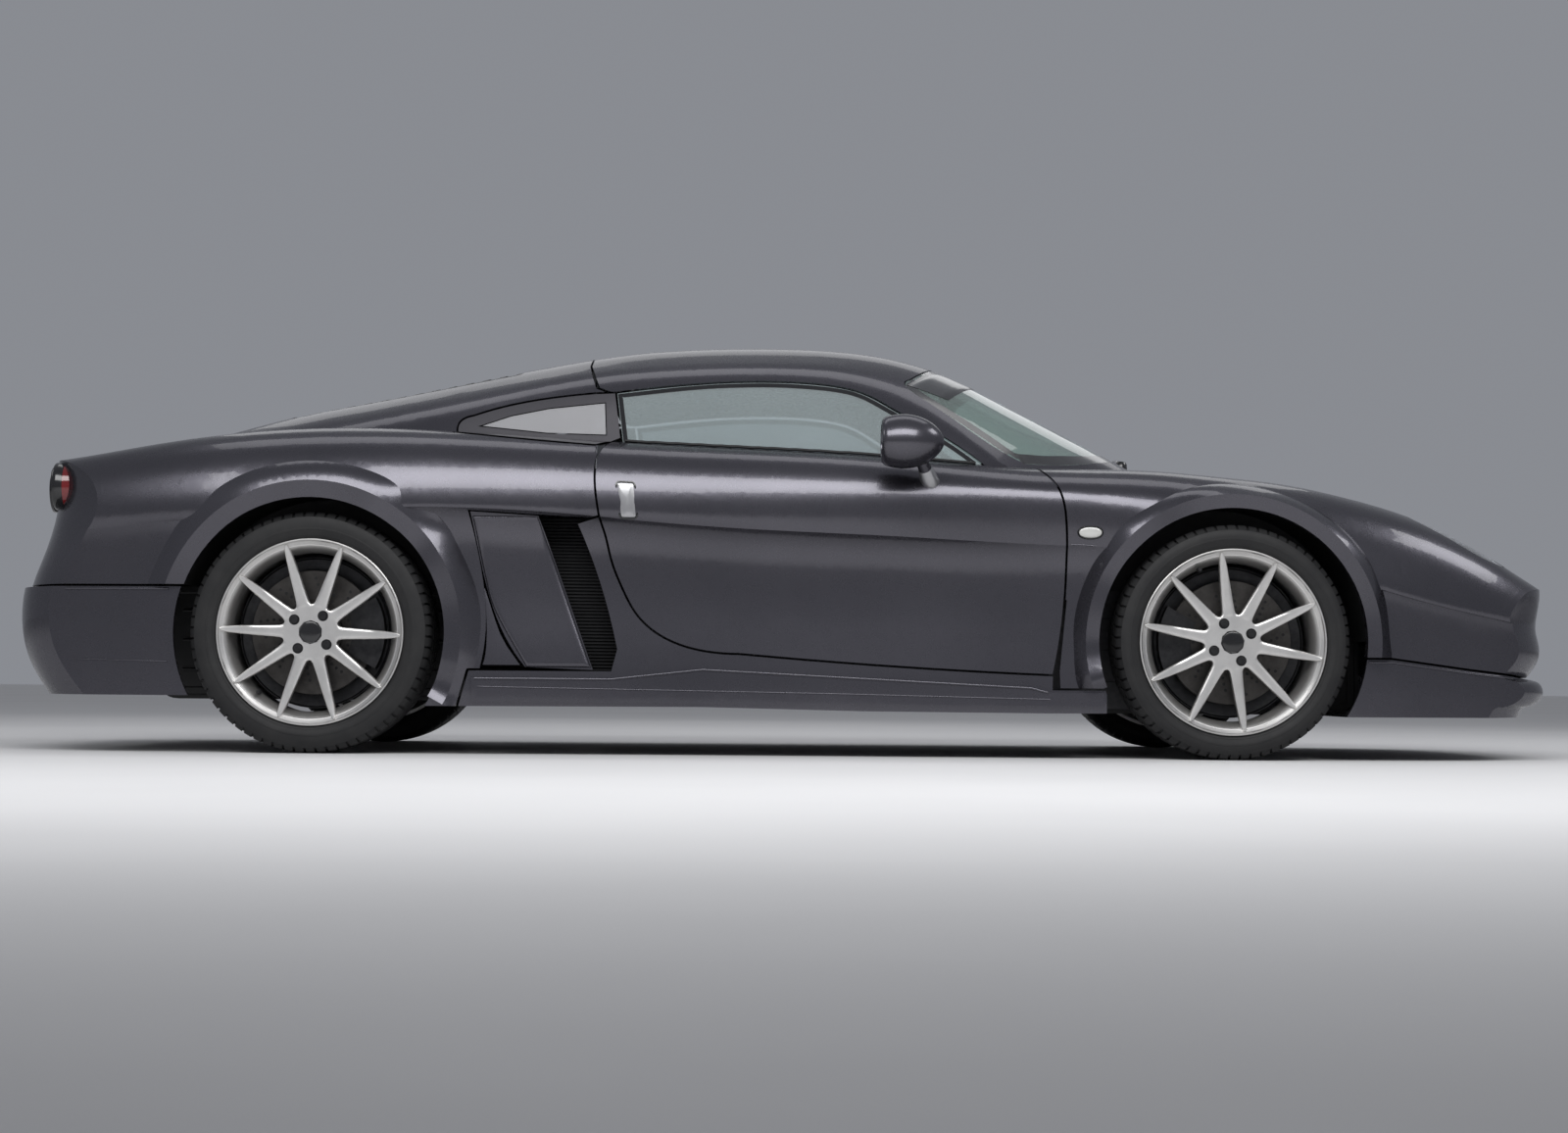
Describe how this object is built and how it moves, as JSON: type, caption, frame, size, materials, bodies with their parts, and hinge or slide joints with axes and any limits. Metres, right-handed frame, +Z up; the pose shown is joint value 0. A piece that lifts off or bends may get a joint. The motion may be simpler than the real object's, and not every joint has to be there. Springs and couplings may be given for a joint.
{
  "type": "two-seat mid-engine coupe car",
  "caption": "Low two-seat coupe with hinged front and rear bodywork, opening doors, flared arches, spoked alloy wheels, steering front wheels and a hollow glazed cabin.",
  "frame": {"origin": "middle of the bounding box on the ground plane, level with the bottom of the tyres", "axes": "+X to the nose, +Y to the car's left, +Z up"},
  "size_m": [4.2686, 2.0824, 1.1602],
  "materials": {
    "body_paint": "gloss",
    "chassis_alloy": "matte",
    "black_plastic": "satin",
    "glass": "polished",
    "engine_metal": "cast",
    "steel_bright": "brushed",
    "disc_iron": "machined",
    "alloy": "satin",
    "steel_black": "satin",
    "tyre": "matte",
    "lamp_clear": "gloss",
    "silver_paint": "satin",
    "trim_fabric": "matte",
    "lamp_red": "gloss"
  },
  "bodies": {
    "body": {"cabin_shell": "body_paint", "chassis_tub": "chassis_alloy", "dashboard": "black_plastic", "engine_block": "engine_metal", "exhaust": "steel_bright", "front_bumper": "body_paint", "front_suspension": "steel_black", "quarter_panels": "silver_paint", "rear_bumper": "body_paint", "rear_suspension": "steel_black", "rear_windows": "glass", "seats": "trim_fabric", "side_skirts": "body_paint", "steering_wheel": "black_plastic", "windscreen": "glass"},
    "door_left": {"door_glass_left": "glass", "door_left": "body_paint", "mirror_left": "body_paint"},
    "door_right": {"door_glass_right": "glass", "door_right": "body_paint", "mirror_right": "body_paint"},
    "front_clam": {"front_arch_liners": "black_plastic", "front_clamshell": "body_paint", "front_grille": "black_plastic", "headlamps": "black_plastic", "lamp_lenses": "lamp_clear"},
    "front_wheel_left": {"front_brake_disc_left": "disc_iron", "front_rim_left": "alloy", "front_tyre_left": "tyre"},
    "front_wheel_right": {"front_brake_disc_right": "disc_iron", "front_rim_right": "alloy", "front_tyre_right": "tyre"},
    "front_steer_left": {"front_upright_left": "steel_black"},
    "front_steer_right": {"front_upright_right": "steel_black"},
    "rear_clam": {"rear_arch_liners": "black_plastic", "rear_clamshell": "body_paint", "rear_grilles": "black_plastic", "side_blades": "body_paint", "tail_lamps": "lamp_red"},
    "rear_wheel_left": {"rear_brake_disc_left": "disc_iron", "rear_rim_left": "alloy", "rear_tyre_left": "tyre"},
    "rear_wheel_right": {"rear_brake_disc_right": "disc_iron", "rear_rim_right": "alloy", "rear_tyre_right": "tyre"}
  },
  "joints": [
    {"name": "front_clam_hinge", "type": "hinge", "parent": "body", "child": "front_clam", "pos_m": [2.1, 0, 0.15], "axis": [0, 1, 0], "range_deg": [0, 45]},
    {"name": "rear_clam_hinge", "type": "hinge", "parent": "body", "child": "rear_clam", "pos_m": [-2.108, 0, 0.444], "axis": [0, -1, 0], "range_deg": [0, 45]},
    {"name": "door_right_hinge", "type": "hinge", "parent": "body", "child": "door_right", "pos_m": [0.732, -0.902, 0.45], "axis": [0, 0, 1], "range_deg": [0, 65]},
    {"name": "door_left_hinge", "type": "hinge", "parent": "body", "child": "door_left", "pos_m": [0.732, 0.902, 0.45], "axis": [0, 0, -1], "range_deg": [0, 65]},
    {"name": "steer_right", "type": "hinge", "parent": "body", "child": "front_steer_right", "pos_m": [1.1725, -0.76, 0.312], "axis": [0, 0, 1], "range_deg": [-30, 30]},
    {"name": "steer_left", "type": "hinge", "parent": "body", "child": "front_steer_left", "pos_m": [1.1725, 0.76, 0.312], "axis": [0, 0, 1], "range_deg": [-30, 30]},
    {"name": "front_wheel_right_spin", "type": "hinge", "parent": "front_steer_right", "child": "front_wheel_right", "pos_m": [1.1725, -0.7925, 0.312], "axis": [0, 1, 0], "continuous": true},
    {"name": "rear_wheel_right_spin", "type": "hinge", "parent": "body", "child": "rear_wheel_right", "pos_m": [-1.2655, -0.7775, 0.32], "axis": [0, 1, 0], "continuous": true},
    {"name": "front_wheel_left_spin", "type": "hinge", "parent": "front_steer_left", "child": "front_wheel_left", "pos_m": [1.1725, 0.7925, 0.312], "axis": [0, 1, 0], "continuous": true},
    {"name": "rear_wheel_left_spin", "type": "hinge", "parent": "body", "child": "rear_wheel_left", "pos_m": [-1.2655, 0.7775, 0.32], "axis": [0, 1, 0], "continuous": true}
  ],
  "couplings": [
    {"joint": "steer_left", "follows": "steer_right", "ratio": 1}
  ]
}
